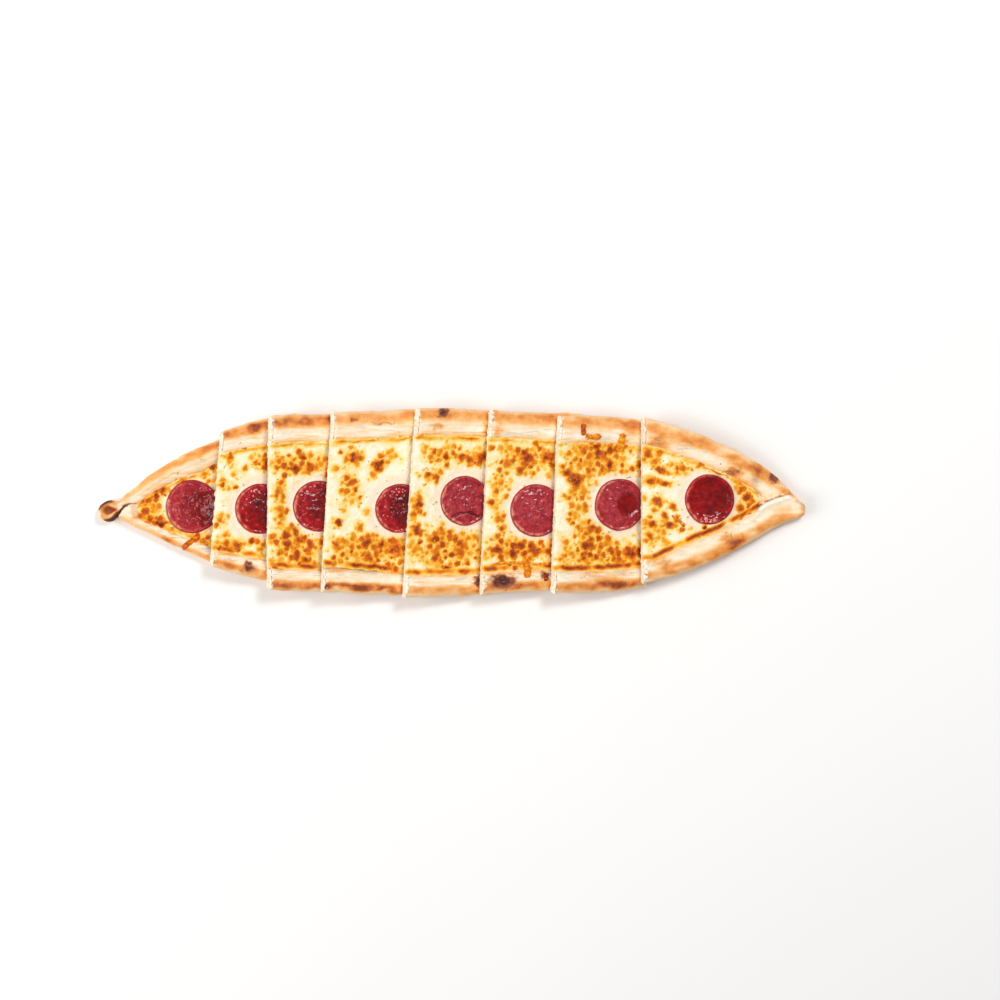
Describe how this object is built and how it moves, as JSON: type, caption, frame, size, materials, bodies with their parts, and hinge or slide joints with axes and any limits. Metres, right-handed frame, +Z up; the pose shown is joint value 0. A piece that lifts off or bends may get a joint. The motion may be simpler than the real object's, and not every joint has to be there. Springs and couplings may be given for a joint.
{
  "type": "turkish pide",
  "caption": "Boat-shaped Turkish flatbread with melted cheese and rounds of spiced sausage, cut across into slices that lie shingled in a row.",
  "frame": {"origin": "centre of the footprint of the laid row, on the surface it lies on", "axes": "+X along the row from the curled tip to the blunt tip, +Y across it, +Z up"},
  "size_m": [0.4508, 0.12, 0.0244],
  "materials": {
    "bread": "baked dough, matt, browned in bands along the rims, with cream crumb at the cuts",
    "cheese": "melted cheese, satin, ivory with orange and brown toasted spots",
    "sucuk": "cooked sucuk, glossy with fat, deep red with a lighter edge"
  },
  "bodies": {
    "root": {"bread_1": "bread", "cheese_1": "cheese", "sucuk_1": "sucuk", "bread_2": "bread", "cheese_2": "cheese", "sucuk_2": "sucuk", "bread_3": "bread", "cheese_3": "cheese", "sucuk_3": "sucuk", "bread_4": "bread", "cheese_4": "cheese", "sucuk_4": "sucuk", "bread_5": "bread", "cheese_5": "cheese", "sucuk_5": "sucuk", "bread_6": "bread", "cheese_6": "cheese", "sucuk_6": "sucuk", "bread_7": "bread", "cheese_7": "cheese", "sucuk_7": "sucuk", "bread_8": "bread", "cheese_8": "cheese", "sucuk_8": "sucuk"}
  },
  "joints": []
}
